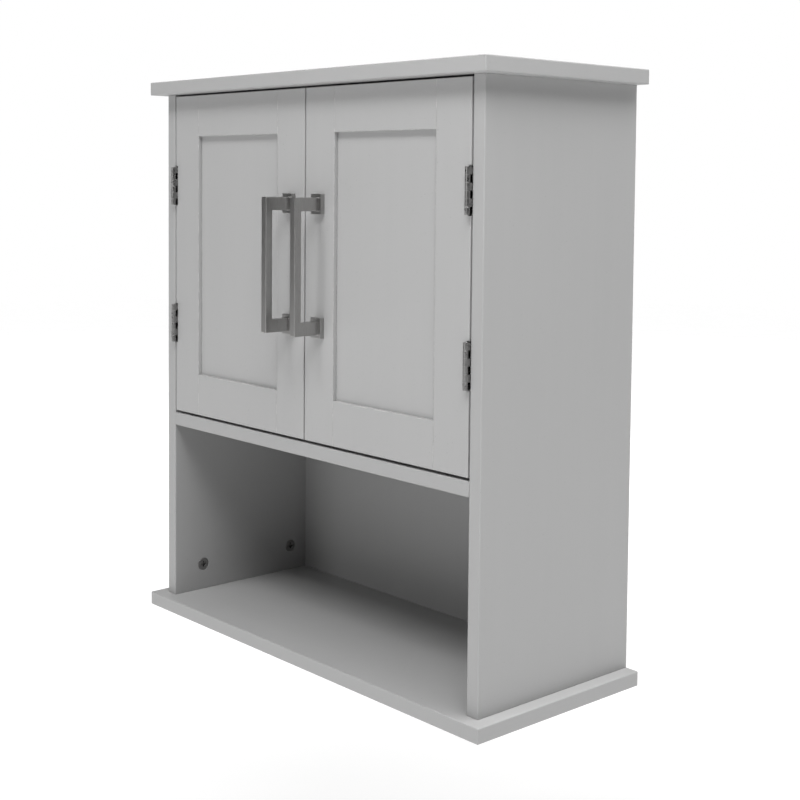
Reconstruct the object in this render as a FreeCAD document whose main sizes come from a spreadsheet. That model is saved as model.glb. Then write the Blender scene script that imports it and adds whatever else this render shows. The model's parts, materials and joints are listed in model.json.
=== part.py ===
import FreeCAD, Part
import os
import re
import Sketcher

# Hanging wall cabinet: two inset shaker doors above an open bay.
#
# Millimetres. +X is to the right of someone facing the doors, +Y points at the
# wall and +Z is up. The wall is the plane Y = 0, and the origin lies on it,
# midway between the two screw holes of the hanging rail.
#
# Every length below is a cell of the sheet "Size". DERIVED holds formulas made
# of those cells, and every sketch, pad and placement is bound to such formulas.

SIZES = {
    # carcase
    "board": 15,            # thickness of sides, top, bottom, shelves and rails
    "body_width": 525,      # across the outer faces of the side panels
    "body_depth": 215,      # front edges of the side panels to the wall
    "overhang": 15,         # top and bottom boards past the sides and the front
    "side_height": 594,     # clear height between the top and bottom boards
    "bay_height": 205,      # clear height of the open bay
    "easing": 1,            # rounding of the outer board edges
    "back_thick": 4,        # back panel
    "back_groove": 6,       # depth of the grooves that hold the back panel
    "back_slack": 0.5,      # space left at the bottom of those grooves
    "rail_height": 70,      # hanging rail and lower rail
    "stud_spacing": 406.4,  # wall studs, centre to centre
    "wall_hole": 5.5,       # diameter of the wall screw holes
    # adjustable shelf
    "shelf_slack": 1.5,     # between the shelf and each side panel
    "shelf_depth": 160,
    "shelf_back_gap": 1,
    "peg_front": 65,        # peg columns, from the front edges of the sides
    "peg_rear": 165,
    "peg_step": 32,         # between the three peg rows
    "peg_radius": 2.5,
    "peg_hole": 10,         # depth of a peg hole
    "peg_room": 1,          # left at the bottom of a peg hole
    "peg_bevel": 1,
    "peg_reach": 8,         # part of a peg that carries the shelf
    "peg_flange": 1,
    "peg_flange_radius": 4,
    # doors
    "door_thick": 15,
    "door_gap": 2,          # at both sides, between the doors and at the top
    "sill_gap": 3,          # between the doors and the fixed shelf
    "frame_width": 47,      # stiles and rails
    "panel_recess": 4.5,    # panel face behind the frame's face
    "panel_thick": 6,
    "panel_groove": 8,
    "panel_slack": 0.5,
    "door_easing": 0.7,
    # butt hinges
    "hinge_inset": 104,     # hinge centre from the door's top and bottom edges
    "hinge_forward": 3.7,   # pin axis in front of the doors' faces
    "hinge_offset": 2.7,    # pin axis to the outer face of each leaf
    "knuckle": 7.2,
    "knuckle_pitch": 7.4,
    "barrel_radius": 2.6,
    "pin_radius": 1.3,
    "pin_setback": 0.2,     # pin's ends inside the outer knuckles
    "pin_bevel": 0.3,
    "fixed_bore": 1.32,     # bore of the knuckles that hold the pin
    "running_bore": 1.36,   # bore of the knuckles that turn on the pin
    "leaf_thick": 1,
    "leaf_depth": 13.8,     # leaf behind the doors' faces
    "leaf_relief": 0.2,     # leaf edge behind the doors' faces
    "mortise_room": 0.8,    # mortise past each end of a leaf
    "cut_past": 1,          # a cut past each face that it goes through
    "leaf_screw_rise": 14,  # leaf screws above and below the hinge's middle
    "leaf_screw_back": 8,   # leaf screws behind the doors' faces
    # handles
    "pull_centres": 128,
    "pull_reach": 35,
    "pull_bar": 8.2,        # thickness of the grip bar
    "pull_width": 8.5,
    "pull_leg": 14,         # height of each leg
    "pull_easing": 0.7,
    "foot_width": 16.3,
    "foot_height": 21,
    "foot_thick": 4.8,
    "pull_screw": 2,        # radius of the machine screws
    "pull_bore": 2.25,      # radius of their holes through the stile
    "pull_screw_grip": 14,  # depth of the threaded holes in the handle
    "pull_screw_room": 1,   # left at the bottom of those holes
    "pull_head": 4,
    "pull_head_thick": 2.4,
    "pull_head_rim": 1.2,   # straight part of the head's side
    "pull_head_bevel": 1,
    # cam fittings and dowels
    "cam_front": 40,        # cam bolts, from the front edges of the sides
    "cam_rear": 172,
    "cam_setback": 30,      # cam centre from the joint
    "cam_radius": 7.4,
    "cam_pocket": 7.5,      # radius of the cam's pocket
    "cam_depth": 12,
    "cam_pocket_depth": 12.5,
    "cam_slot_arm": 3.7,    # half length of the driver's cross in a cam
    "cam_slot_half": 1.3,   # half width of that cross
    "cam_slot_depth": 3.5,
    "cam_bevel": 0.6,       # bevel round a cam's face
    "bolt_thread": 3,
    "bolt_thread_depth": 10,
    "bolt_shank": 2.5,
    "bolt_neck": 1.6,
    "bolt_neck_length": 4,
    "bolt_head_thick": 3,
    "bolt_bore": 3.5,
    "bolt_room": 2,         # bore past the cam's centre
    "dowel_front": 72,
    "dowel_rear": 140,
    "dowel_radius": 4,
    "dowel_short": 9.5,     # dowel length in the drilled face
    "dowel_long": 19.5,     # dowel length in the end of the board
    "dowel_bevel": 0.8,
    "dowel_room": 0.5,      # space beyond each end of a dowel
    "rail_fixing": 16,      # rail fittings above and below the rail's middle
    # countersunk wood screws
    "screw_radius": 1.5,
    "screw_head": 2.6,
    "screw_point": 3,
    "screw_length": 12,
    "cross": 1.7,           # half length of a cross recess
    "cross_width": 0.7,
    "cross_depth": 0.5,
    # double magnetic catch
    "catch_width": 60,
    "catch_depth": 18,
    "catch_height": 13,
    "catch_gap": 0.3,       # pole plates to strike plates
    "catch_screw_pitch": 8,
    "catch_screw_bite": 9,  # catch screws into the top board
    "magnet_offset": 18,    # magnets from the cabinet's middle
    "magnet_width": 16,
    "magnet_depth": 14,
    "magnet_height": 5,
    "pole_thick": 1,
    "pole_proud": 0.5,      # pole plates past the housing
    "strike_height": 14,
    "strike_thick": 1,
    "strike_inset": 0.5,    # strike plates below the doors' top edges
}

DERIVED = {
    "inner_half": "body_width / 2 - board",
    "roof_z": "rail_height / 2",
    "floor_z": "roof_z - side_height",
    "sill_z": "floor_z + bay_height + board",
    "bore_z": "floor_z + bay_height + board / 2",
    "front_y": "0 - body_depth",
    "back_y": "0 - board - back_thick",
    "peg_z": "(sill_z + roof_z) / 2",
    "lower_rail_z": "floor_z + rail_height / 2",
    "door_z": "sill_z + sill_gap",
    "door_height": "roof_z - door_gap - door_z",
    "door_width": "inner_half - 1.5 * door_gap",
    "door_outer": "inner_half - door_gap",
    "door_inner": "door_gap / 2",
    "door_back_y": "front_y + door_thick",
    "opening_width": "door_width - 2 * frame_width",
    "opening_height": "door_height - 2 * frame_width",
    "hinge_x": "inner_half - hinge_offset",
    "mortise_x": "inner_half - 2 * hinge_offset",
    "hinge_y": "front_y - hinge_forward",
    "hinge_height": "5 * knuckle_pitch + knuckle",
    "pull_x": "door_inner + frame_width / 2",
    "pull_z": "door_z + door_height / 2",
    "cam_x": "body_width / 2 - board / 2",
    "strike_z": "roof_z - door_gap - strike_height / 2 - strike_inset",
    "catch_y": "door_back_y + strike_thick + catch_gap + pole_proud",
    "magnet_z": "roof_z - catch_height / 2 - magnet_height / 2",
}

RIGHT = FreeCAD.Vector(1, 0, 0)
LEFT = FreeCAD.Vector(-1, 0, 0)
WALL = FreeCAD.Vector(0, 1, 0)
FRONT = FreeCAD.Vector(0, -1, 0)
UP = FreeCAD.Vector(0, 0, 1)
DOWN = FreeCAD.Vector(0, 0, -1)
NEAR = 1e-4
SHORT = 1.0  # edges up to this length stay sharp

# side name, its sign along X, and the direction from that side to the middle
SIDES = (("left", -1, RIGHT), ("right", 1, LEFT))

doc = FreeCAD.newDocument("HangingWallCabinet")
parts = []


# ---------------------------------------------------------------- helpers


def fill_sheet():
    """Put every driving dimension in a named cell."""
    sheet = doc.addObject("Spreadsheet::Sheet", "Size")
    for row, (name, value) in enumerate(SIZES.items(), 1):
        sheet.set(f"A{row}", name)
        sheet.set(f"B{row}", str(value))
        sheet.setAlias(f"B{row}", name)
    doc.recompute()


def formula(text):
    """Spell a formula out in cells of the sheet."""

    def spelled(match):
        name = match.group(0)
        if name in DERIVED:
            return "(" + formula(DERIVED[name]) + ")"
        return "Size." + name

    return re.sub(r"[a-z][a-z_]*", spelled, text)


def bind(obj, **formulas):
    """Bind properties of an object to formulas."""
    for name, text in formulas.items():
        obj.setExpression(name, formula(text))


def place(obj, at, rotation=None):
    """Bind an object's position to three formulas, turned by a fixed rotation."""
    if rotation:
        obj.Placement = FreeCAD.Placement(FreeCAD.Vector(), rotation)
    for axis, text in zip("xyz", at):
        obj.setExpression("Placement.Base." + axis, formula(text))


def turned(up, side=None):
    """Rotation that sends local +Z to up and, where given, local +X to side."""
    if side is None:
        return FreeCAD.Rotation(UP, up)
    return FreeCAD.Rotation(side, up.cross(side), up, "ZXY")


def keep(obj, label):
    """Name an object as a finished sub-part."""
    obj.Label = label
    parts.append(obj)
    return obj


def new_body(name, at=("0", "0", "0")):
    body = doc.addObject("PartDesign::Body", name)
    place(body, at)
    return body


def sketch_on(body, role, offset="0"):
    """Empty sketch on one of the body's own origin planes, moved along its normal."""
    sketch = body.newObject("Sketcher::SketchObject", body.Name + "_sketch")
    plane = next(item for item in body.Origin.OriginFeatures if item.Role == role)
    sketch.AttachmentSupport = [(plane, "")]
    sketch.MapMode = "FlatFace"
    sketch.setExpression("AttachmentOffset.Base.z", formula(offset))
    return sketch


def pin_point(sketch, line, end, corner):
    """Fix one end of a sketch line at a pair of formulas."""
    for kind, text in zip(("DistanceX", "DistanceY"), corner):
        number = sketch.addConstraint(Sketcher.Constraint(kind, -1, 1, line, end, 1.0))
        sketch.setExpression(f"Constraints[{number}]", formula(text))


def add_outline(sketch, corners):
    """Closed outline through corners that are pairs of formulas."""
    count = len(corners)
    first = sketch.GeometryCount
    starts = [FreeCAD.Vector(number, number % 2, 0) for number in range(count)]
    for number in range(count):
        line = Part.LineSegment(starts[number], starts[(number + 1) % count])
        sketch.addGeometry(line, False)
    for number in range(count):
        follower = first + (number + 1) % count
        sketch.addConstraint(Sketcher.Constraint("Coincident", first + number, 2, follower, 1))
    for number, corner in enumerate(corners):
        pin_point(sketch, first + number, 1, corner)


def add_rectangle(sketch, low, high):
    corners = [low, (high[0], low[1]), high, (low[0], high[1])]
    add_outline(sketch, corners)


def add_circle(sketch, centre, radius):
    number = sketch.GeometryCount
    sketch.addGeometry(Part.Circle(FreeCAD.Vector(), UP, 1), False)
    for kind, text in zip(("DistanceX", "DistanceY"), centre):
        constraint = Sketcher.Constraint(kind, -1, 1, number, 3, 1.0)
        index = sketch.addConstraint(constraint)
        sketch.setExpression(f"Constraints[{index}]", formula(text))
    index = sketch.addConstraint(Sketcher.Constraint("Radius", number, 1.0))
    sketch.setExpression(f"Constraints[{index}]", formula(radius))


def pad(body, sketch, length, backwards=False):
    feature = body.newObject("PartDesign::Pad", body.Name + "_pad")
    feature.Profile = sketch
    feature.Reversed = backwards
    bind(feature, Length=length)
    sketch.Visibility = False
    return feature


def cut_in(body, sketch, depth, backwards=False):
    """Pocket that is checked to take material away."""
    doc.recompute()
    before = body.Shape.Volume
    feature = body.newObject("PartDesign::Pocket", body.Name + "_pocket")
    feature.Profile = sketch
    feature.Reversed = backwards
    bind(feature, Length=depth)
    doc.recompute()
    if body.Shape.Volume > before - NEAR:
        raise RuntimeError(f"{feature.Name} cuts nothing")
    return feature


def spin(body, outline):
    """Solid of revolution about local Z from (radius, height) corners."""
    sketch = sketch_on(body, "XZ_Plane")
    add_outline(sketch, outline)
    feature = body.newObject("PartDesign::Revolution", body.Name + "_turned")
    feature.Profile = sketch
    feature.ReferenceAxis = (sketch, ["V_Axis"])
    feature.Angle = 360
    return feature


def ease(body, radius, wanted):
    """Round the edges of the body that pass a test."""
    doc.recompute()
    base = body.Tip
    box = base.Shape.BoundBox
    names = []
    for number, edge in enumerate(base.Shape.Edges, 1):
        if wanted(edge.BoundBox, box):
            names.append(f"Edge{number}")
    feature = body.newObject("PartDesign::Fillet", body.Name + "_eased")
    feature.Base = (base, names)
    bind(feature, Radius=radius)
    return feature


def at_front(edge, box):
    """Edge that lies in the foremost plane."""
    return edge.YMax < box.YMin + NEAR


def cross_recess(body, height):
    """Driver's cross, cut down into a head whose top is at the given height."""
    reach, half = "cross", "cross_width / 2"
    quarter = [(half, reach), (half, half), (reach, half)]
    corners = list(quarter)
    corners += [(x, f"0 - ({y})") for x, y in reversed(quarter)]
    corners += [(f"0 - ({x})", f"0 - ({y})") for x, y in quarter]
    corners += [(f"0 - ({x})", y) for x, y in reversed(quarter)]
    sketch = sketch_on(body, "XY_Plane", height)
    add_outline(sketch, corners)
    cut_in(body, sketch, "cross_depth")


def round_tool(name, radius, start, end):
    """Straight round tool from start to end along local Z."""
    body = new_body(name)
    sketch = sketch_on(body, "XY_Plane", start)
    add_circle(sketch, ("0", "0"), radius)
    pad(body, sketch, f"({end}) - ({start})")
    return body


def slab(name, width, depth, height, at):
    """Plain block centred on X, its front lower edge through the given point."""
    block = doc.addObject("Part::Box", name)
    bind(block, Length=width, Width=depth, Height=height)
    place(block, (f"{at[0]} - ({width}) / 2", at[1], at[2]))
    return block


def copies(label, master, places):
    """Group of identical pieces: one link to the master at each place."""
    links = []
    for number, (at, up, side) in enumerate(places, 1):
        link = doc.addObject("App::Link", f"{label}_{number}")
        link.LinkedObject = master
        place(link, at, turned(up, side))
        links.append(link)
    group = doc.addObject("Part::Compound", label)
    group.Links = links
    return group


def bored(label, blank, tools):
    """Piece with each tool, or group of tools, cut out of it in turn."""
    for number, tool in enumerate(tools, 1):
        cut = doc.addObject("Part::Cut", f"{label}_cut_{number}")
        cut.Base = blank
        cut.Tool = tool
        blank = cut
    return keep(blank, label)


# ------------------------------------------------- masters of the fasteners


def turned_master(name, outline):
    """Turned piece that is only used through copies."""
    body = new_body(name)
    spin(body, outline)
    return body


def wood_screw(name, length):
    """Countersunk screw, its head's face at Z = 0 and its point downwards."""
    taper = f"screw_point - ({length})"
    outline = [
        ("0", "0"),
        ("screw_head", "0"),
        ("screw_radius", "0 - leaf_thick"),
        ("screw_radius", taper),
        ("0", f"0 - ({length})"),
    ]
    body = turned_master(name, outline)
    cross_recess(body, "0")
    return body


def screw_way(name, length):
    """Countersunk hole for a wood screw of that length."""
    outline = [
        ("0", "0"),
        ("screw_head", "0"),
        ("screw_radius", "0 - leaf_thick"),
        ("screw_radius", f"0 - ({length})"),
        ("0", f"0 - ({length})"),
    ]
    return turned_master(name, outline)


def cam_nut():
    """Cam with its face at Z = 0, and a hole for the bolt that comes from +X."""
    body = turned_master(
        "cam_nut",
        [
            ("0", "0 - cam_depth"),
            ("cam_radius", "0 - cam_depth"),
            ("cam_radius", "0 - cam_bevel"),
            ("cam_radius - cam_bevel", "0"),
            ("0", "0"),
        ],
    )
    way = sketch_on(body, "YZ_Plane", "0 - bolt_thread")
    add_circle(way, ("0", "0 - board / 2"), "bolt_bore")
    cut_in(body, way, "cam_pocket + bolt_thread", backwards=True)
    slot = sketch_on(body, "XY_Plane", "0")
    arm, half = "cam_slot_arm", "cam_slot_half"
    corners = [(half, arm), (half, half), (arm, half), (arm, f"0 - {half}")]
    corners += [(half, f"0 - {half}"), (half, f"0 - {arm}")]
    corners += [(f"0 - {x}", f"0 - ({y})") for x, y in corners]
    add_outline(slot, corners)
    cut_in(body, slot, "cam_slot_depth")
    return body


def cam_bolt():
    """Bolt with its thread below Z = 0 and its head at the cam's centre."""
    head = "cam_setback - bolt_head_thick / 2"
    return turned_master(
        "cam_bolt",
        [
            ("0", "0 - bolt_thread_depth"),
            ("bolt_thread", "0 - bolt_thread_depth"),
            ("bolt_thread", "0"),
            ("bolt_shank", "0"),
            ("bolt_shank", f"{head} - bolt_neck_length"),
            ("bolt_neck", f"{head} - bolt_neck_length"),
            ("bolt_neck", head),
            ("bolt_thread", head),
            ("bolt_thread", f"{head} + bolt_head_thick"),
            ("0", f"{head} + bolt_head_thick"),
        ],
    )


def bolt_way():
    """Bore for a cam bolt, from its thread to past the cam's centre."""
    return turned_master(
        "bolt_way",
        [
            ("0", "0 - bolt_thread_depth"),
            ("bolt_thread", "0 - bolt_thread_depth"),
            ("bolt_thread", "0"),
            ("bolt_bore", "0"),
            ("bolt_bore", "cam_setback + bolt_room"),
            ("0", "cam_setback + bolt_room"),
        ],
    )


def dowel():
    """Chamfered dowel: its short end is in the drilled face below Z = 0."""
    end = "dowel_radius - dowel_bevel"
    return turned_master(
        "dowel",
        [
            ("0", "0 - dowel_short"),
            (end, "0 - dowel_short"),
            ("dowel_radius", "dowel_bevel - dowel_short"),
            ("dowel_radius", "dowel_long - dowel_bevel"),
            (end, "dowel_long"),
            ("0", "dowel_long"),
        ],
    )


def shelf_peg():
    """Peg whose flange sits on the side panel at Z = 0."""
    return turned_master(
        "shelf_peg",
        [
            ("0", "peg_room - peg_hole"),
            ("peg_radius", "peg_room - peg_hole"),
            ("peg_radius", "0"),
            ("peg_flange_radius", "0"),
            ("peg_flange_radius", "peg_flange"),
            ("peg_radius", "peg_flange"),
            ("peg_radius", "peg_reach - peg_bevel"),
            ("peg_radius - peg_bevel", "peg_reach"),
            ("0", "peg_reach"),
        ],
    )


def pull_screw():
    """Pan-head machine screw, its head's seat at Z = 0."""
    tip = "pull_screw_room - door_thick - pull_screw_grip"
    body = turned_master(
        "pull_screw_master",
        [
            ("0", tip),
            ("pull_screw", tip),
            ("pull_screw", "0"),
            ("pull_head", "0"),
            ("pull_head", "pull_head_rim"),
            ("pull_head - pull_head_bevel", "pull_head_thick"),
            ("0", "pull_head_thick"),
        ],
    )
    cross_recess(body, "pull_head_thick")
    return body


# ------------------------------------------------------ where fasteners go


def board_joints(joint, inward_z):
    """Places of the fittings between the side panels and the board that meets them at joint."""
    bolts, cams, dowels = [], [], []
    step = "+" if inward_z is UP else "-"
    for _, sign, inward in SIDES:
        for setback in ("cam_front", "cam_rear"):
            y = f"front_y + {setback}"
            bolts.append(((f"{sign} * cam_x", y, joint), inward_z, None))
            cam = (f"{sign} * inner_half", y, f"{joint} {step} cam_setback")
            cams.append((cam, inward, -inward_z))
        for setback in ("dowel_front", "dowel_rear"):
            at = (f"{sign} * cam_x", f"front_y + {setback}", joint)
            dowels.append((at, inward_z, None))
    return bolts, cams, dowels


def shelf_joints():
    """Places of the fittings between the side panels and the fixed shelf."""
    bolts, cams, dowels = [], [], []
    for _, sign, inward in SIDES:
        for setback in ("cam_front", "cam_rear"):
            y = f"front_y + {setback}"
            bolts.append(((f"{sign} * inner_half", y, "bore_z"), inward, None))
            cam = (f"{sign} * (inner_half - cam_setback)", y, "bore_z - board / 2")
            cams.append((cam, DOWN, -inward))
        for setback in ("dowel_front", "dowel_rear"):
            at = (f"{sign} * inner_half", f"front_y + {setback}", "bore_z")
            dowels.append((at, inward, None))
    return bolts, cams, dowels


def rail_joints(middle):
    """Places of the fittings between the side panels and a rail at that height."""
    bolts, cams, dowels = [], [], []
    for _, sign, inward in SIDES:
        high = f"{middle} + rail_fixing"
        low = f"{middle} - rail_fixing"
        bolts.append(((f"{sign} * inner_half", "0 - board / 2", high), inward, None))
        cams.append(((f"{sign} * (inner_half - cam_setback)", "0", high), WALL, -inward))
        dowels.append(((f"{sign} * inner_half", "0 - board / 2", low), inward, None))
    return bolts, cams, dowels


def peg_places(sign, inward, rows):
    """Peg holes of one side panel, two columns and the given rows."""
    places = []
    for row in rows:
        for column in ("peg_front", "peg_rear"):
            at = (f"{sign} * inner_half", f"front_y + {column}", f"peg_z + {row} * peg_step")
            places.append((at, inward, None))
    return places


def hinge_levels():
    """Name and middle height of each hinge."""
    return (
        ("upper", "door_z + door_height - hinge_inset"),
        ("lower", "door_z + hinge_inset"),
    )


def leaf_screw_places(x, head_to, middle):
    """Two screws of one hinge leaf."""
    y = "front_y + leaf_screw_back"
    return [((x, y, f"{middle} {step} leaf_screw_rise"), head_to, None) for step in "+-"]


def cabinet_screw_places(sign, inward):
    places = []
    for _, middle in hinge_levels():
        places += leaf_screw_places(f"{sign} * (inner_half - leaf_thick)", inward, middle)
    return places


def door_screw_places(sign, inward):
    places = []
    for _, middle in hinge_levels():
        places += leaf_screw_places(f"{sign} * (mortise_x + leaf_thick)", -inward, middle)
    return places


def pull_screw_places(sign):
    heights = ("pull_z + pull_centres / 2", "pull_z - pull_centres / 2")
    return [((f"{sign} * pull_x", "door_back_y", z), WALL, None) for z in heights]


def strike_screw_places(sign):
    at = (f"{sign} * magnet_offset", "door_back_y + strike_thick", "strike_z")
    return [(at, WALL, None)]


def catch_screw_places():
    middle = "catch_y + catch_depth / 2"
    shifts = ("+", "-")
    return [
        (("0", f"{middle} {shift} catch_screw_pitch / 2", "roof_z - catch_height"), DOWN, None)
        for shift in shifts
    ]


# ----------------------------------------------------------------- carcase


def wide_board(name, height):
    """Top or bottom board without its bores."""
    body = new_body(name, ("0", "0", height))
    half = "body_width / 2 + overhang"
    outline = sketch_on(body, "XY_Plane")
    add_rectangle(outline, (f"0 - ({half})", "front_y - overhang"), (half, "0"))
    pad(body, outline, "board")
    ease(body, "easing", lambda edge, box: edge.YMin < box.YMax - NEAR)
    return body


def groove_across(body, level, backwards):
    """Groove for the back panel in a wide board."""
    sketch = sketch_on(body, "XY_Plane", level)
    end = "inner_half + back_groove"
    add_rectangle(sketch, (f"0 - ({end})", "back_y"), (end, "0 - board"))
    cut_in(body, sketch, "back_groove", backwards)


def wide_boards(tools, masters):
    """Top and bottom boards."""
    top = wide_board("top_board_blank", "roof_z")
    groove_across(top, "0", backwards=True)
    bottom = wide_board("bottom_board_blank", "floor_z - board")
    groove_across(bottom, "board", backwards=False)
    catch = copies("catch_screw_bores", masters["catch_way"], catch_screw_places())
    bored("top_board", top, tools["top"] + [catch])
    bored("bottom_board", bottom, tools["bottom"])


def side_panel_blank(side, sign):
    """Side panel with the groove for the back panel, without its bores."""
    body = new_body(f"{side}_side_blank", (f"{sign} * inner_half", "0", "floor_z"))
    outline = sketch_on(body, "XY_Plane")
    corners = [
        ("0", "front_y"),
        (f"{sign} * board", "front_y"),
        (f"{sign} * board", "0"),
        ("0", "0"),
        ("0", "0 - board"),
        (f"{sign} * back_groove", "0 - board"),
        (f"{sign} * back_groove", "back_y"),
        ("0", "back_y"),
    ]
    add_outline(outline, corners)
    pad(body, outline, "side_height")
    ease(body, "easing", lambda edge, box: at_front(edge, box) and edge.ZLength > SHORT)
    return body


def side_panels(tools, masters):
    """Both side panels, bored for cams, dowels, pegs and hinge screws."""
    peg_hole = round_tool("peg_hole_tool", "peg_radius", "0 - peg_hole", "0")
    for side, sign, inward in SIDES:
        blank = side_panel_blank(side, sign)
        pegs = copies(f"{side}_peg_holes", peg_hole, peg_places(sign, inward, (-1, 0, 1)))
        screws = copies(
            f"{side}_cabinet_screw_holes", masters["screw_way"], cabinet_screw_places(sign, inward)
        )
        every = tools["top"] + tools["bottom"] + tools["shelf"]
        every += tools["hanging_rail"] + tools["lower_rail"] + [pegs, screws]
        bored(f"{side}_side_panel", blank, every)


def fixed_shelf(tools):
    """Shelf between the open bay and the closed compartment."""
    body = new_body("middle_shelf_blank", ("0", "0", "floor_z + bay_height"))
    outline = sketch_on(body, "XY_Plane")
    add_rectangle(outline, ("0 - inner_half", "front_y"), ("inner_half", "back_y"))
    pad(body, outline, "board")
    ease(body, "easing", lambda edge, box: at_front(edge, box) and edge.XLength > SHORT)
    bored("middle_shelf", body, tools["shelf"])


def loose_shelf():
    """Adjustable shelf on its pegs."""
    body = new_body("adjustable_shelf", ("0", "back_y - shelf_back_gap", "peg_z + peg_radius"))
    half = "inner_half - shelf_slack"
    outline = sketch_on(body, "XY_Plane")
    add_rectangle(outline, (f"0 - ({half})", "0 - shelf_depth"), (half, "0"))
    pad(body, outline, "board")
    ease(body, "easing", lambda edge, box: at_front(edge, box) and edge.XLength > SHORT)
    keep(body, "adjustable_shelf")


def wall_hole_tool():
    """Two bores on the wall studs, through the hanging rail and the back panel."""
    master = round_tool("wall_hole_master", "wall_hole / 2", "0", "board + back_thick")
    places = [((f"{sign} * stud_spacing / 2", "0", "0"), FRONT, None) for sign in (-1, 1)]
    return copies("wall_holes", master, places)


def back_panel(wall_holes):
    body = new_body("back_panel_blank", ("0", "back_y", "floor_z - back_groove + back_slack"))
    reach = "back_groove - back_slack"
    half = f"inner_half + {reach}"
    outline = sketch_on(body, "XY_Plane")
    add_rectangle(outline, (f"0 - ({half})", "0"), (half, "back_thick"))
    pad(body, outline, f"side_height + 2 * ({reach})")
    bored("back_panel", body, [wall_holes])


def cross_rail(label, middle, tools):
    """Rail behind the back panel, level with the rear edges."""
    body = new_body(label + "_blank", ("0", "0", f"{middle} - rail_height / 2"))
    outline = sketch_on(body, "XY_Plane")
    add_rectangle(outline, ("0 - inner_half", "0 - board"), ("inner_half", "0"))
    pad(body, outline, "rail_height")
    bored(label, body, tools)


# ------------------------------------------------------------------ hinges


def hinge_leaf(label, sign, across, middle, first, bore, screw_holes):
    """Leaf of a butt hinge: flat plate, three knuckles and two countersunk holes.

    across is the direction along X from the pin to the leaf, and first is the
    number of the lowest knuckle that belongs to this leaf.
    """
    low = f"{middle} - hinge_height / 2"
    body = new_body(label + "_blank", (f"{sign} * hinge_x", "hinge_y", low))
    outer = f"{across} * hinge_offset"
    inner = f"{across} * (hinge_offset - leaf_thick)"
    edge = "hinge_forward + leaf_relief"
    plate = sketch_on(body, "XY_Plane")
    add_rectangle(plate, (inner, edge), (outer, "hinge_forward + leaf_depth"))
    pad(body, plate, "hinge_height")
    base = f"{first} * knuckle_pitch"
    web = sketch_on(body, "XY_Plane", base)
    add_rectangle(web, (inner, "0"), (outer, f"{edge} + leaf_thick"))
    web_pad = pad(body, web, "knuckle")
    ring = sketch_on(body, "XY_Plane", base)
    add_circle(ring, ("0", "0"), "barrel_radius")
    add_circle(ring, ("0", "0"), bore)
    ring_pad = pad(body, ring, "knuckle")
    doc.recompute()
    row = body.newObject("PartDesign::LinearPattern", body.Name + "_row")
    row.Originals = [web_pad, ring_pad]
    row.Direction = (ring, ["N_Axis"])
    row.Occurrences = 3
    bind(row, Length="4 * knuckle_pitch")
    body.Tip = row
    bored(label, body, [screw_holes])


def hinge_pin(label, sign, middle):
    """Plain pin, its bevelled ends just inside the outer knuckles."""
    low = f"{middle} - hinge_height / 2"
    body = new_body(label, (f"{sign} * hinge_x", "hinge_y", low))
    spin(
        body,
        [
            ("0", "pin_setback"),
            ("pin_radius - pin_bevel", "pin_setback"),
            ("pin_radius", "pin_setback + pin_bevel"),
            ("pin_radius", "hinge_height - pin_setback - pin_bevel"),
            ("pin_radius - pin_bevel", "hinge_height - pin_setback"),
            ("0", "hinge_height - pin_setback"),
        ],
    )
    keep(body, label)


def hinges(masters):
    """Four butt hinges, two to a door.

    All four are the same hinge, so those on the left are turned end for end: the
    lowest knuckle is the cabinet leaf's on the left and the door leaf's on the right.
    """
    for side, sign, inward in SIDES:
        fixed_holes = copies(
            f"{side}_fixed_leaf_holes", masters["screw_way"], cabinet_screw_places(sign, inward)
        )
        door_holes = copies(
            f"{side}_door_leaf_holes", masters["screw_way"], door_screw_places(sign, inward)
        )
        lowest_fixed = 1 if side == "right" else 0
        lowest_door = 1 - lowest_fixed
        for level, middle in hinge_levels():
            name = f"{side}_{level}_hinge"
            fixed = (sign, sign, middle, lowest_fixed, "fixed_bore", fixed_holes)
            moving = (sign, -sign, middle, lowest_door, "running_bore", door_holes)
            hinge_leaf(f"{name}_cabinet_leaf", *fixed)
            hinge_leaf(f"{name}_door_leaf", *moving)
            hinge_pin(f"{name}_pin", sign, middle)


# ------------------------------------------------------------------- doors


def stile(label, edge_x, across, tools):
    """Upright of a door frame; across points from its outer edge to the panel."""
    body = new_body(label + "_blank", (edge_x, "front_y", "door_z"))
    groove_end = "panel_recess + panel_thick"
    corners = [
        ("0", "0"),
        (f"{across} * frame_width", "0"),
        (f"{across} * frame_width", "panel_recess"),
        (f"{across} * (frame_width - panel_groove)", "panel_recess"),
        (f"{across} * (frame_width - panel_groove)", groove_end),
        (f"{across} * frame_width", groove_end),
        (f"{across} * frame_width", "door_thick"),
        ("0", "door_thick"),
    ]
    outline = sketch_on(body, "XY_Plane")
    add_outline(outline, corners)
    pad(body, outline, "door_height")

    def outer_front(edge, box):
        inner_side = edge.XMin > box.XMax - NEAR if across > 0 else edge.XMax < box.XMin + NEAR
        return at_front(edge, box) and not inner_side

    ease(body, "door_easing", outer_front)
    bored(label, body, tools)


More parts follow.
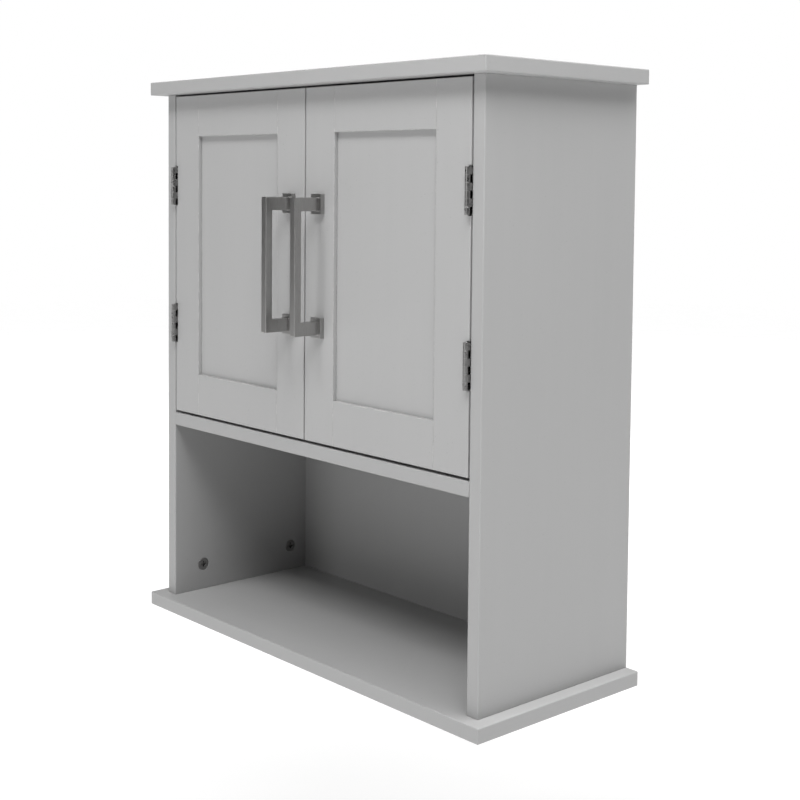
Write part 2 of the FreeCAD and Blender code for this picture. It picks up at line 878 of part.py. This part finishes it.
def rail(label, middle_x, edge_z, across):
    """Rail of a door frame with a tongue at each end; across is up or down, as 1 or -1."""
    body = new_body(label, (middle_x, "front_y", edge_z))
    groove_end = "panel_recess + panel_thick"
    floor = f"{across} * (frame_width - panel_groove)"
    corners = [
        ("0", "0"),
        ("door_thick", "0"),
        ("door_thick", f"{across} * frame_width"),
        (groove_end, f"{across} * frame_width"),
        (groove_end, floor),
        ("panel_recess", floor),
        ("panel_recess", f"{across} * frame_width"),
        ("0", f"{across} * frame_width"),
    ]
    profile = sketch_on(body, "YZ_Plane", "0 - opening_width / 2")
    add_outline(profile, corners)
    pad(body, profile, "opening_width")

    def outer_front(edge, box):
        outer = edge.ZMax < box.ZMin + NEAR if across > 0 else edge.ZMin > box.ZMax - NEAR
        return at_front(edge, box) and outer

    ease(body, "door_easing", outer_front)
    reach = "panel_groove - panel_slack"
    tongue = sketch_on(body, "YZ_Plane", f"0 - opening_width / 2 - ({reach})")
    add_rectangle(tongue, ("panel_recess", "0"), (groove_end, floor))
    pad(body, tongue, f"opening_width + 2 * ({reach})")
    keep(body, label)


def door_panel(label, middle_x):
    """Flat panel held in the grooves of its frame."""
    reach = "panel_groove - panel_slack"
    low = f"door_z + frame_width - ({reach})"
    body = new_body(label, (middle_x, "front_y + panel_recess", low))
    half = f"opening_width / 2 + {reach}"
    outline = sketch_on(body, "XY_Plane")
    add_rectangle(outline, (f"0 - ({half})", "0"), (half, "panel_thick"))
    pad(body, outline, f"opening_height + 2 * ({reach})")
    keep(body, label)


def handle(label, sign):
    """Square bow pull with a rectangular foot at each leg."""
    body = new_body(label, (f"{sign} * pull_x", "front_y", "pull_z"))
    tall, clear = "(pull_centres + pull_leg) / 2", "(pull_centres - pull_leg) / 2"
    inner = "0 - pull_reach + pull_bar"
    corners = [
        ("0", tall),
        ("0 - pull_reach", tall),
        ("0 - pull_reach", f"0 - {tall}"),
        ("0", f"0 - {tall}"),
        ("0", f"0 - {clear}"),
        (inner, f"0 - {clear}"),
        (inner, clear),
        ("0", clear),
    ]
    bow = sketch_on(body, "YZ_Plane", "0 - pull_width / 2")
    add_outline(bow, corners)
    pad(body, bow, "pull_width")
    ease(body, "pull_easing", lambda edge, box: edge.YMin < box.YMax - NEAR)
    for shift in ("+", "-"):
        foot = sketch_on(body, "XZ_Plane")
        middle = f"0 {shift} pull_centres / 2"
        low = ("0 - foot_width / 2", f"{middle} - foot_height / 2")
        add_rectangle(foot, low, ("foot_width / 2", f"{middle} + foot_height / 2"))
        pad(body, foot, "foot_thick")
        hole = sketch_on(body, "XZ_Plane")
        add_circle(hole, ("0", middle), "pull_screw")
        cut_in(body, hole, "pull_screw_grip", backwards=True)
    keep(body, label)


def strike_plate(label, sign, way):
    """Steel plate on the back of a door, held by one countersunk screw."""
    at = (f"{sign} * magnet_offset", "door_back_y", "strike_z")
    body = new_body(label + "_blank", at)
    outline = sketch_on(body, "XY_Plane", "0 - strike_height / 2")
    add_rectangle(outline, ("0 - magnet_width / 2", "0"), ("magnet_width / 2", "strike_thick"))
    pad(body, outline, "strike_height")
    bored(label, body, [way])


def mortises(side, sign):
    """Cuts through the edge of a hinge stile for the door leaves."""
    tools = []
    for level, middle in hinge_levels():
        low = f"{middle} - hinge_height / 2 - mortise_room"
        at = (f"{sign} * (mortise_x + hinge_offset)", "front_y - cut_past", low)
        height = "hinge_height + 2 * mortise_room"
        name = f"{side}_{level}_mortise"
        tools.append(slab(name, "2 * hinge_offset", "door_thick + 2 * cut_past", height, at))
    return tools


def doors(masters):
    """Two framed doors with their handles and strike plates."""
    pull_bore = round_tool("pull_bore_tool", "pull_bore", "0 - door_thick", "0")
    for side, sign, inward in SIDES:
        name = f"{side}_door"
        middle_x = f"{sign} * (door_inner + door_width / 2)"
        leaf_holes = copies(
            f"{name}_stile_holes", masters["screw_way"], door_screw_places(sign, inward)
        )
        pull_holes = copies(f"{name}_pull_holes", pull_bore, pull_screw_places(sign))
        strike_hole = copies(
            f"{name}_strike_hole", masters["screw_way"], strike_screw_places(sign)
        )
        hinge_cuts = mortises(side, sign) + [leaf_holes]
        stile(f"{name}_hinge_stile", f"{sign} * door_outer", -sign, hinge_cuts)
        stile(f"{name}_inner_stile", f"{sign} * door_inner", sign, [pull_holes, strike_hole])
        rail(f"{name}_top_rail", middle_x, "door_z + door_height", -1)
        rail(f"{name}_bottom_rail", middle_x, "door_z", 1)
        door_panel(f"{name}_panel", middle_x)
        handle(f"{side}_handle", sign)
        strike_plate(f"{side}_strike_plate", sign, strike_hole)


# ---------------------------------------------------------- magnetic catch


def catch_housing(screw_ways):
    """Block under the top board with a cavity for each magnet, open at the front."""
    body = new_body("catch_housing_blank", ("0", "catch_y", "roof_z - catch_height"))
    outline = sketch_on(body, "XY_Plane")
    add_rectangle(outline, ("0 - catch_width / 2", "0"), ("catch_width / 2", "catch_depth"))
    pad(body, outline, "catch_height")
    ease(body, "easing", lambda edge, box: edge.ZMax < box.ZMin + NEAR)
    for sign in (-1, 1):
        cavity = sketch_on(body, "XZ_Plane")
        middle = f"{sign} * magnet_offset"
        stack = "magnet_height / 2 + pole_thick"
        low = (f"{middle} - magnet_width / 2", f"catch_height / 2 - ({stack})")
        add_rectangle(cavity, low, (f"{middle} + magnet_width / 2", f"catch_height / 2 + {stack}"))
        cut_in(body, cavity, "magnet_depth")
    bored("catch_housing", body, [screw_ways])


def magnets():
    """Magnets, each between two pole plates that stand proud of the housing."""
    blocks, plates = [], []
    for number, sign in enumerate((-1, 1), 1):
        x = f"{sign} * magnet_offset"
        at = (x, "catch_y", "magnet_z")
        blocks.append(slab(f"magnet_{number}", "magnet_width", "magnet_depth", "magnet_height", at))
        for level, z in (("low", "magnet_z - pole_thick"), ("high", "magnet_z + magnet_height")):
            plate = slab(
                f"pole_{number}_{level}",
                "magnet_width",
                "magnet_depth + pole_proud",
                "pole_thick",
                (x, "catch_y - pole_proud", z),
            )
            plates.append(plate)
    for label, members in (("catch_magnets", blocks), ("catch_pole_plates", plates)):
        group = doc.addObject("Part::Compound", label)
        group.Links = members
        keep(group, label)


# ------------------------------------------------------------ the assembly


def joint_sets():
    """Every set of cam fittings, by the name of its boards."""
    return {
        "bottom": board_joints("floor_z", UP),
        "top": board_joints("roof_z", DOWN),
        "shelf": shelf_joints(),
        "hanging_rail": rail_joints("0"),
        "lower_rail": rail_joints("lower_rail_z"),
    }


def fitting_tools(joints):
    """Bores for the bolts, cams and dowels of each set."""
    cam_pocket = round_tool("cam_pocket_tool", "cam_pocket", "0 - cam_pocket_depth", "0")
    low, high = "0 - dowel_short - dowel_room", "dowel_long + dowel_room"
    dowel_hole = round_tool("dowel_hole_tool", "dowel_radius", low, high)
    shapes = (bolt_way(), cam_pocket, dowel_hole)
    tools = {}
    for name, places in joints.items():
        tools[name] = [
            copies(f"{name}_{shape.Name}", shape, spots) for shape, spots in zip(shapes, places)
        ]
    return tools


def fittings(joints):
    """Cam bolts, cam nuts and dowels; the two rails share their nodes."""
    shapes = (("cam_bolts", cam_bolt()), ("cam_nuts", cam_nut()), ("dowels", dowel()))
    groups = {
        "bottom": ("bottom",),
        "top": ("top",),
        "shelf": ("shelf",),
        "rail": ("hanging_rail", "lower_rail"),
    }
    for group, members in groups.items():
        for number, (plural, master) in enumerate(shapes):
            places = [spot for member in members for spot in joints[member][number]]
            label = f"{group}_{plural}"
            keep(copies(label, master, places), label)


def screws_and_pegs(masters):
    """Groups of identical screws, and the pegs of the adjustable shelf."""
    screw = masters["screw"]
    cabinet_places = []
    peg_spots = []
    for side, sign, inward in SIDES:
        cabinet_places += cabinet_screw_places(sign, inward)
        peg_spots += peg_places(sign, inward, (0,))
        keep(copies(f"{side}_door_hinge_screws", screw, door_screw_places(sign, inward)),
             f"{side}_door_hinge_screws")
        keep(copies(f"{side}_strike_screw", screw, strike_screw_places(sign)),
             f"{side}_strike_screw")
        keep(copies(f"{side}_handle_screws", masters["pull_screw"], pull_screw_places(sign)),
             f"{side}_handle_screws")
    keep(copies("cabinet_hinge_screws", screw, cabinet_places), "cabinet_hinge_screws")
    keep(copies("catch_screws", masters["catch_screw"], catch_screw_places()), "catch_screws")
    keep(copies("shelf_pegs", shelf_peg(), peg_spots), "shelf_pegs")


def check_and_write():
    """Stop on any failed object; then write one STEP file for each sub-part."""
    doc.recompute()
    for obj in doc.Objects:
        if "Invalid" in obj.State or "Error" in obj.State:
            raise RuntimeError(f"{obj.Name} failed: {obj.State}")
    for part in parts:
        if part.Shape.isNull() or not part.Shape.isValid() or not part.Shape.Solids:
            raise RuntimeError(f"{part.Label} has no sound shape")
    os.makedirs("parts", exist_ok=True)
    for part in parts:
        part.Shape.exportStep(f"parts/{part.Label}.step")
        box = part.Shape.BoundBox
        print(f"{part.Label}: {len(part.Shape.Solids)} solids, "
              f"{box.XLength:.1f} x {box.YLength:.1f} x {box.ZLength:.1f}")
    print(len(parts), "sub-parts")


def build():
    fill_sheet()
    catch_length = "catch_height + catch_screw_bite"
    masters = {
        "screw": wood_screw("hinge_screw", "screw_length"),
        "screw_way": screw_way("hinge_screw_way", "screw_length"),
        "catch_screw": wood_screw("catch_screw", catch_length),
        "catch_way": screw_way("catch_screw_way", catch_length),
        "pull_screw": pull_screw(),
    }
    joints = joint_sets()
    tools = fitting_tools(joints)
    wall_holes = wall_hole_tool()
    wide_boards(tools, masters)
    side_panels(tools, masters)
    fixed_shelf(tools)
    loose_shelf()
    back_panel(wall_holes)
    cross_rail("hanging_rail", "0", tools["hanging_rail"] + [wall_holes])
    cross_rail("lower_rail", "lower_rail_z", tools["lower_rail"])
    fittings(joints)
    hinges(masters)
    doors(masters)
    catch_housing(copies("catch_housing_bores", masters["catch_way"], catch_screw_places()))
    magnets()
    screws_and_pegs(masters)
    check_and_write()


build()
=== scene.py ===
import json
import math

import bpy
from mathutils import Euler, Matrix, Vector


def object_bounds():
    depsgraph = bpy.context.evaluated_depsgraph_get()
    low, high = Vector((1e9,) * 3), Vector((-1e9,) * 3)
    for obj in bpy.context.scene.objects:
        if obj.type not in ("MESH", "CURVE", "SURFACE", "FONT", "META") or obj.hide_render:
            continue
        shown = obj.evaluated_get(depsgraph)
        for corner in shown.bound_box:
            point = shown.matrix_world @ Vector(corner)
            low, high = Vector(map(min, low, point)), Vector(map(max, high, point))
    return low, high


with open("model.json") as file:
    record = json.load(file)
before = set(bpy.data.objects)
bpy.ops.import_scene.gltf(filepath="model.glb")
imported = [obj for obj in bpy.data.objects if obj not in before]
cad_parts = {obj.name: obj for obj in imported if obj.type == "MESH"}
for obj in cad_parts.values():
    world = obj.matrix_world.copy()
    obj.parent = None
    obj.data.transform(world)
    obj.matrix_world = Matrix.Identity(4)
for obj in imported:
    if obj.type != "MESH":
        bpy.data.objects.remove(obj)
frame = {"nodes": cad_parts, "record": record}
cad_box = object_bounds()

# Looks of the hanging wall cabinet. Metres, in the CAD frame: +Y is the wall,
# -Y is the side of the doors, and the origin is on the wall plane.

# ------------------------------------------------------------------ camera

CAMERA_PLACE = (1.1474, -1.1095, -0.0620)
CAMERA_TURN = (86.66, -0.51, 48.16)    # degrees
CAMERA_LENS = 62.55                    # millimetres, as is the sensor
SENSOR = 36.0
SHIFT_DOWN = -0.1734                   # share of the picture's width


def add_camera():
    """Camera at the photograph's viewing angle, with the vertical shift of its crop."""
    data = bpy.data.cameras.new("camera")
    data.lens = CAMERA_LENS
    data.sensor_width = SENSOR
    data.shift_y = SHIFT_DOWN
    camera = bpy.data.objects.new("camera", data)
    camera.location = CAMERA_PLACE
    camera.rotation_euler = Euler([math.radians(angle) for angle in CAMERA_TURN])
    bpy.context.scene.collection.objects.link(camera)
    bpy.context.scene.camera = camera


# ----------------------------------------------------------------- shading

HIGHLIT_COSINE, FLAT_COSINE = 0.80, 0.995    # rounded normal against the flat one: full painted edge highlight, none
TURNED_AWAY, TURNED_TO = 0.6, 0.8         # part of a normal along an axis: none, all


class Shader:
    """Small helper that adds nodes to one material."""

    def __init__(self, name):
        self.material = bpy.data.materials.new(name)
        self.material.use_nodes = True
        self.tree = self.material.node_tree
        self.principled = self.tree.nodes["Principled BSDF"]

    def add(self, kind, **settings):
        """New node, with settings for its properties or its sockets."""
        node = self.tree.nodes.new(kind)
        for name, value in settings.items():
            if hasattr(node, name):
                setattr(node, name, value)
            else:
                node.inputs[name.replace("_", " ")].default_value = value
        return node

    def link(self, output, target):
        self.tree.links.new(output, target)

    def place(self, scale=(1.0, 1.0, 1.0)):
        """Object coordinates, stretched by a scale along each axis."""
        coordinates = self.add("ShaderNodeTexCoord")
        mapping = self.add("ShaderNodeMapping", Scale=scale)
        self.link(coordinates.outputs["Object"], mapping.inputs["Vector"])
        return mapping.outputs["Vector"]

    def noise(self, where, scale, detail=3.0, roughness=0.5):
        """Cloudy noise from 0 to 1, with about scale lumps to each unit of where."""
        node = self.add("ShaderNodeTexNoise", Scale=scale, Detail=detail, Roughness=roughness)
        self.link(where, node.inputs["Vector"])
        return node.outputs["Fac"]

    def between(self, value, low, high, start=0.0, end=1.0):
        """Value moved from start..end to low..high."""
        node = self.add("ShaderNodeMapRange")
        node.inputs["From Min"].default_value = start
        node.inputs["From Max"].default_value = end
        node.inputs["To Min"].default_value = low
        node.inputs["To Max"].default_value = high
        self.link(value, node.inputs["Value"])
        return node.outputs["Result"]

    def blend(self, factor, first, second):
        """Mix of two colours by a factor."""
        node = self.add("ShaderNodeMix", data_type="RGBA")
        self.link(factor, node.inputs["Factor"])
        for name, value in (("A", first), ("B", second)):
            socket = next(s for s in node.inputs if s.name == name and s.type == "RGBA")
            if isinstance(value, tuple):
                socket.default_value = (*value, 1.0)
            else:
                self.link(value, socket)
        return next(s for s in node.outputs if s.type == "RGBA")

    def times(self, first, second):
        """Product of two outputs, or of an output and a number."""
        node = self.add("ShaderNodeMath", operation="MULTIPLY")
        for socket, value in zip(node.inputs, (first, second)):
            if isinstance(value, float):
                socket.default_value = value
            else:
                self.link(value, socket)
        return node.outputs["Value"]

    def rounded(self, radius):
        """Normal that rounds every edge to that radius in metres."""
        return self.add("ShaderNodeBevel", samples=8, Radius=radius).outputs["Normal"]

    def edges(self, normal):
        """Mask for painted edge highlights: 1 on edges and 0 on flats, from how far a rounded normal
        leans away there.
        """
        flat = self.add("ShaderNodeNewGeometry").outputs["Normal"]
        cosine = self.add("ShaderNodeVectorMath", operation="DOT_PRODUCT")
        self.link(normal, cosine.inputs[0])
        self.link(flat, cosine.inputs[1])
        return self.between(cosine.outputs["Value"], 1.0, 0.0, HIGHLIT_COSINE, FLAT_COSINE)

    def facing(self, axis):
        """1 where the surface faces along that axis of the object, 0 elsewhere."""
        normal = self.add("ShaderNodeTexCoord").outputs["Normal"]
        split = self.add("ShaderNodeSeparateXYZ")
        self.link(normal, split.inputs["Vector"])
        return self.between(split.outputs[axis], 0.0, 1.0, TURNED_AWAY, TURNED_TO)

    def bump(self, height, distance, strength=1.0, after=None):
        """Bump of a real height in metres."""
        node = self.add("ShaderNodeBump", Distance=distance, Strength=strength)
        self.link(height, node.inputs["Height"])
        if after is not None:
            self.link(after, node.inputs["Normal"])
        return node.outputs["Normal"]

    def set(self, **sockets):
        """Set or link sockets of the Principled shader."""
        for name, value in sockets.items():
            socket = self.principled.inputs[name.replace("_", " ")]
            if isinstance(value, bpy.types.NodeSocket):
                self.link(value, socket)
            else:
                socket.default_value = value


def grey(value, warmth=0.0):
    """Grey of that linear value, slightly warm where warmth is above 0."""
    return (value * (1 + warmth), value, value * (1 - warmth))


# Metres: the radius to which shading rounds an edge, and the depth of a surface's texture.
PAINT_EDGE, PEEL_DEPTH, FIBRE_DEPTH = 0.0014, 0.00003, 0.00001
BRUSHED_EDGE, HAIRLINE_DEPTH = 0.0006, 0.000012
PLATED_EDGE, PIT_DEPTH, CAST_DEPTH = 0.0004, 0.00001, 0.00003
GRAIN_DEPTH = 0.00003
MOULDED_EDGE, SPARK_DEPTH = 0.0005, 0.00002

# Raw fibreboard: its fibres, and the gaps between them, each from darker to lighter.
FIBRES = (0.33, 0.215, 0.125), (0.40, 0.27, 0.165)
GAPS = (0.19, 0.115, 0.062), (0.25, 0.160, 0.092)


def painted(name, tone, rough, bare_back=False):
    """Satin spray paint on fibreboard: orange peel, drifting tone, a painted edge highlight in patches,
    and nibs.

    bare_back leaves the faces that look at the wall as raw brown fibreboard.
    """
    shader = Shader(name)
    where = shader.place()
    # The tone drifts slowly, with faint streaks along Z where spray passes overlap.
    drift = shader.noise(where, scale=6.0, detail=2.0)
    passes = shader.noise(shader.place((55.0, 55.0, 2.5)), scale=1.0, roughness=0.6)
    colour = shader.blend(drift, grey(tone * 0.982), grey(tone * 1.018))
    colour = shader.blend(
        shader.between(passes, 0.0, 0.5, 0.35, 0.75), colour, grey(tone * 1.03, 0.002)
    )
    # Dust nibs are small dark dots.
    nibs = shader.between(shader.noise(where, scale=700.0, detail=1.0), 0.0, 0.8, 0.74, 0.80)
    colour = shader.blend(nibs, colour, grey(tone * 0.72))
    # Painted highlight: edges are made lighter in patches, where they would catch the light.
    eased = shader.rounded(PAINT_EDGE)
    patches = shader.noise(where, scale=90.0, detail=5.0, roughness=0.7)
    highlight_patches = shader.between(patches, 0.1, 1.0, 0.46, 0.56)
    patchy_edge_highlight = shader.times(shader.edges(eased), highlight_patches)
    colour = shader.blend(
        shader.between(patchy_edge_highlight, 0.0, 0.85), colour, grey(min(tone * 1.55, 0.8), 0.01)
    )
    peel = shader.noise(where, scale=480.0)
    fibre = shader.noise(where, scale=2600.0, detail=2.0)
    soft = shader.bump(peel, PEEL_DEPTH, strength=0.8, after=eased)
    fine = shader.bump(fibre, FIBRE_DEPTH, strength=0.6, after=soft)
    gloss = shader.between(drift, rough - 0.03, rough + 0.05)
    if bare_back:
        back = shader.facing("Y")
        pulp = shader.noise(shader.place((520.0, 520.0, 300.0)), scale=1.0, detail=6.0, roughness=0.75)
        fibres = shader.between(pulp, 0.0, 1.0, 0.30, 0.66)
        clouds = shader.noise(where, scale=14.0, detail=4.0, roughness=0.6)
        mottle = shader.between(clouds, 0.0, 1.0, 0.35, 0.65)
        light = shader.blend(mottle, *FIBRES)
        dark = shader.blend(mottle, *GAPS)
        colour = shader.blend(back, colour, shader.blend(fibres, dark, light))
        gloss = shader.between(back, rough, 0.78)
    shader.set(Base_Color=colour, Roughness=gloss, Normal=fine, Specular_IOR_Level=0.4)
    return shader.material


def brushed(name, tone, rough, stretch, warmth=0.012):
    """Brushed nickel plate: hairlines along the axis of least stretch, and faint stains."""
    shader = Shader(name)
    where = shader.place()
    lines = shader.noise(shader.place(stretch), scale=1.0, detail=5.0, roughness=0.7)
    stains = shader.noise(where, scale=70.0)
    colour = shader.blend(
        shader.between(lines, 0.0, 1.0, 0.33, 0.70), grey(tone * 0.82, warmth), grey(tone * 1.1, warmth)
    )
    colour = shader.blend(
        shader.between(stains, 0.0, 0.35, 0.5, 0.8), colour, grey(tone * 0.85, warmth * 2)
    )
    eased = shader.rounded(BRUSHED_EDGE)
    # Painted highlight: the edges are made brighter, as if they caught the light.
    edge_highlight = shader.times(shader.edges(eased), 0.55)
    colour = shader.blend(edge_highlight, colour, grey(min(tone * 1.5, 0.9), warmth))
    gloss = shader.between(lines, rough - 0.07, rough + 0.10, 0.3, 0.7)
    shader.set(
        Base_Color=colour,
        Roughness=gloss,
        Metallic=1.0,
        Normal=shader.bump(lines, HAIRLINE_DEPTH, strength=0.7, after=eased),
        Anisotropic=0.4,
    )
    return shader.material


def plated(name, tone, rough, warmth=0.01, grain=1500.0, depth=PIT_DEPTH):
    """Satin plated or cast metal: fine pits, haze, and a painted highlight that makes the edges
    brighter.
    """
    shader = Shader(name)
    where = shader.place()
    pits = shader.noise(where, scale=grain)
    haze = shader.noise(where, scale=140.0, roughness=0.6)
    colour = shader.blend(
        shader.between(haze, 0.0, 1.0, 0.3, 0.7), grey(tone * 0.84, warmth), grey(tone * 1.1, warmth)
    )
    eased = shader.rounded(PLATED_EDGE)
    # Painted highlight: the edges are made brighter, as if they caught the light.
    edge_highlight = shader.times(shader.edges(eased), 0.6)
    colour = shader.blend(edge_highlight, colour, grey(min(tone * 1.5, 0.9), warmth))
    gloss = shader.between(haze, rough - 0.06, rough + 0.10, 0.3, 0.7)
    shader.set(
        Base_Color=colour,
        Roughness=gloss,
        Metallic=1.0,
        Normal=shader.bump(pits, depth, strength=0.6, after=eased),
    )
    return shader.material


def bare_wood(name, light, dark):
    """Bare beech with short flecks along the dowels."""
    shader = Shader(name)
    grain = shader.noise(shader.place((900.0, 900.0, 60.0)), scale=1.0, detail=4.0, roughness=0.6)
    flecks = shader.noise(shader.place((2200.0, 2200.0, 400.0)), scale=1.0, detail=1.0)
    colour = shader.blend(shader.between(grain, 0.0, 1.0, 0.35, 0.65), light, dark)
    colour = shader.blend(
        shader.between(flecks, 0.0, 0.7, 0.62, 0.72), colour, tuple(part * 0.55 for part in dark)
    )
    shader.set(Base_Color=colour, Roughness=0.62, Normal=shader.bump(grain, GRAIN_DEPTH))
    return shader.material


def moulded(name, colour, rough):
    """Moulded plastic or sintered ferrite with a fine spark texture."""
    shader = Shader(name)
    where = shader.place()
    spark = shader.noise(where, scale=2600.0, detail=2.0)
    tint = shader.noise(where, scale=60.0)
    lighter = tuple(min(part * 1.06 + 0.012, 1.0) for part in colour)
    mixed = shader.blend(tint, colour, lighter)
    eased = shader.rounded(MOULDED_EDGE)
    # Painted highlight: every edge is made lighter, as if it caught the light.
    lit_edges = shader.times(shader.edges(eased), 0.4)
    mixed = shader.blend(lit_edges, mixed, tuple(min(part * 1.3 + 0.03, 1.0) for part in colour))
    gloss = shader.between(spark, rough - 0.05, rough + 0.05)
    rough_skin = shader.bump(spark, SPARK_DEPTH, after=eased)
    shader.set(Base_Color=mixed, Roughness=gloss, Normal=rough_skin)
    return shader.material


# --------------------------------------------------- materials of the nodes

PAINT = 0.378                          # linear tone of the carcase's paint
HAIRLINES = (5000.0, 5000.0, 90.0)     # fine across the handle and long along Z


def slot_materials():
    """One material for each slot of the record."""
    return {
        "carcase_paint": painted("carcase_paint", tone=PAINT, rough=0.46),
        # Doors: the carcase's paint made 5 % lighter, painted light on the door fronts.
        "door_paint": painted("door_paint", tone=PAINT * 1.05, rough=0.44),
        # Back panel: the carcase's paint made 14 % darker, painted shade for the deep shelf bay; its
        # rear is raw fibreboard.
        "back_paint": painted("back_paint", tone=PAINT * 0.86, rough=0.52, bare_back=True),
        "rail_board": painted("rail_board", tone=PAINT * 0.98, rough=0.50, bare_back=True),
        "brushed_nickel": brushed("brushed_nickel", tone=0.40, rough=0.32, stretch=HAIRLINES),
        "hinge_nickel": plated("hinge_nickel", tone=0.26, rough=0.27),
        "screw_steel": plated("screw_steel", tone=0.46, rough=0.32),
        "strike_steel": plated("strike_steel", tone=0.56, rough=0.34),
        "zinc": plated("zinc", tone=0.34, rough=0.42, grain=900.0, depth=CAST_DEPTH),
        "beech": bare_wood("beech", light=(0.55, 0.36, 0.20), dark=(0.40, 0.24, 0.12)),
        "catch_plastic": moulded("catch_plastic", colour=(0.78, 0.77, 0.74), rough=0.42),
        "magnet": moulded("magnet", colour=(0.035, 0.034, 0.033), rough=0.55),
    }


def paint_nodes():
    """Give every CAD node the material of its record slot."""
    materials = slot_materials()
    for entry in frame["record"]["subparts"]:
        node = frame["nodes"][entry["node"]]
        for slot in node.material_slots:
            slot.material = materials[entry["material_slot"]]


# ------------------------------------------------------------------- stage

FLOOR_DROP = 0.6                       # metres from the cabinet down to the floor
FLOOR_RADIUS = 12.0
FLOOR_STEPS = 96
GLOW_START = 0.6                       # distance from the middle where the glow starts to grow
FLOOR_SOLID = 3.6                      # where the glow is full and the floor starts to fade
FLOOR_GONE = FLOOR_RADIUS * 0.95
FLOOR_GLOW, RIM_GLOW = 0.30, 0.90
SURROUND_LIGHT = 0.04
WHITE = (1.0, 1.0, 1.0, 1.0)


def add_floor(lowest):
    """Round pale floor below the cabinet that fades into the white surround at its rim."""
    mesh = bpy.data.meshes.new("floor")
    turns = [2 * math.pi * step / FLOOR_STEPS for step in range(FLOOR_STEPS)]
    rim = [(FLOOR_RADIUS * math.cos(turn), FLOOR_RADIUS * math.sin(turn), 0.0) for turn in turns]
    mesh.from_pydata(rim, [], [tuple(range(FLOOR_STEPS))])
    floor = bpy.data.objects.new("floor", mesh)
    floor.location = (0, 0, lowest)
    bpy.context.scene.collection.objects.link(floor)
    shader = Shader("floor")
    grain = shader.noise(shader.place(), scale=4.0, detail=2.0)
    shader.set(
        Base_Color=shader.blend(grain, grey(0.66), grey(0.68)),
        Roughness=0.9,
        Emission_Color=WHITE,
    )
    measure = shader.add("ShaderNodeVectorMath", operation="LENGTH")
    shader.link(shader.place(), measure.inputs[0])
    outward = measure.outputs["Value"]
    shader.set(
        Emission_Strength=shader.between(outward, FLOOR_GLOW, RIM_GLOW, GLOW_START, FLOOR_SOLID),
        Alpha=shader.between(outward, 1.0, 0.0, FLOOR_SOLID, FLOOR_GONE),
    )
    mesh.materials.append(shader.material)


def add_softbox(name, middle, turn, rise, distance, size, power):
    """Square soft light aimed at the cabinet's middle, with its size in metres and power in watts.

    turn is in degrees from straight in front towards the right, and rise from level.
    """
    data = bpy.data.lights.new(name, "AREA")
    data.size = size
    data.energy = power
    light = bpy.data.objects.new(name, data)
    across, up = math.radians(turn), math.radians(rise)
    aim = Vector(
        (math.sin(across) * math.cos(up), -math.cos(across) * math.cos(up), math.sin(up))
    )
    light.location = middle + aim * distance
    light.rotation_euler = aim.to_track_quat("Z", "Y").to_euler()
    bpy.context.scene.collection.objects.link(light)


def add_lights(middle):
    """Two soft lights in front, two on the right and two behind."""
    far = 6.0
    add_softbox("front_high", middle, turn=0, rise=57, distance=far, size=1.6, power=124)
    add_softbox("front_low", middle, turn=-10, rise=8, distance=far, size=2.4, power=52)
    add_softbox("right_high", middle, turn=110, rise=63, distance=far, size=4.0, power=290)
    add_softbox("near_right", middle, turn=45, rise=54, distance=1.8, size=0.8, power=19)
    add_softbox("behind", middle, turn=170, rise=35, distance=far, size=3.0, power=60)
    add_softbox("behind_left", middle, turn=-110, rise=25, distance=far, size=3.0, power=30)


def add_surround():
    """White surround that itself gives only a little light."""
    world = bpy.data.worlds.new("studio")
    world.use_nodes = True
    tree = world.node_tree
    faint = tree.nodes["Background"]
    faint.inputs["Color"].default_value = WHITE
    faint.inputs["Strength"].default_value = SURROUND_LIGHT
    white = tree.nodes.new("ShaderNodeBackground")
    white.inputs["Color"].default_value = WHITE
    seen = tree.nodes.new("ShaderNodeLightPath").outputs["Is Camera Ray"]
    either = tree.nodes.new("ShaderNodeMixShader")
    tree.links.new(seen, either.inputs["Fac"])
    tree.links.new(faint.outputs["Background"], either.inputs[1])
    tree.links.new(white.outputs["Background"], either.inputs[2])
    tree.links.new(either.outputs["Shader"], tree.nodes["World Output"].inputs["Surface"])
    bpy.context.scene.world = world


def set_colours():
    """Plain display colours, so that tones come out as they are lit."""
    scene = bpy.context.scene
    scene.view_settings.view_transform = "Standard"
    scene.view_settings.look = "None"


add_camera()
set_colours()
paint_nodes()
low, high = Vector(cad_box[0]), Vector(cad_box[1])
add_floor(low.z - FLOOR_DROP)
add_lights((low + high) / 2)
add_surround()
